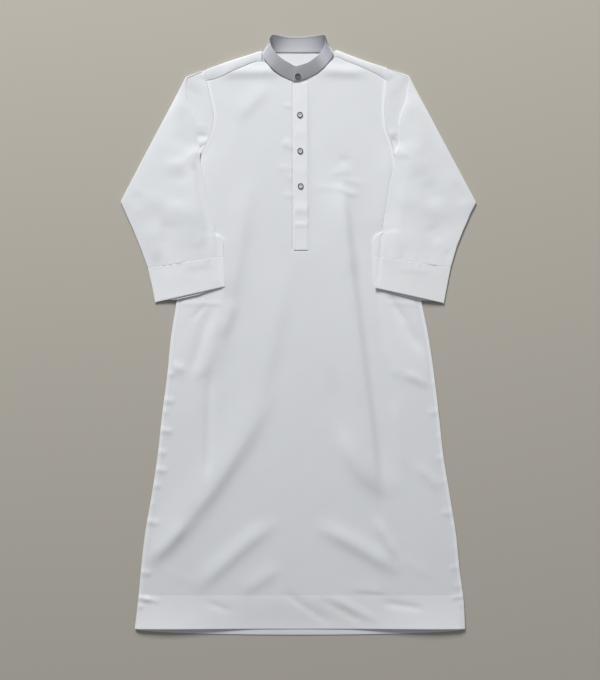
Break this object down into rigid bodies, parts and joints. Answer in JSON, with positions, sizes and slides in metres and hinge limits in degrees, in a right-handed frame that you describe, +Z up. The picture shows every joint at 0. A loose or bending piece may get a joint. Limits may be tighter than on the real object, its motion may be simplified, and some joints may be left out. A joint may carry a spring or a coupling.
{
  "type": "thobe robe",
  "caption": "Long white robe with a grey band collar, short buttoned chest placket and cuffed sleeves, laid flat on its back with the sleeves turned down.",
  "frame": {"origin": "middle of the bounding box in plan, on the surface that the robe lies on", "axes": "+X to the viewer's right, +Y from the hem to the collar, +Z up from the surface"},
  "size_m": [0.8874, 1.4965, 0.0284],
  "materials": {
    "robe_cloth": "matt, fine plain weave",
    "collar_cloth": "matt, fine twill, interlined",
    "button": "satin, rimmed"
  },
  "bodies": {
    "root": {"back": "robe_cloth", "front": "robe_cloth", "sleeve_left": "robe_cloth", "sleeve_right": "robe_cloth", "cuff_left": "robe_cloth", "cuff_right": "robe_cloth", "collar": "collar_cloth", "placket": "robe_cloth", "pocket_left": "robe_cloth", "pocket_right": "robe_cloth", "button_collar": "button", "button_1": "button", "button_2": "button", "button_3": "button"}
  },
  "joints": []
}
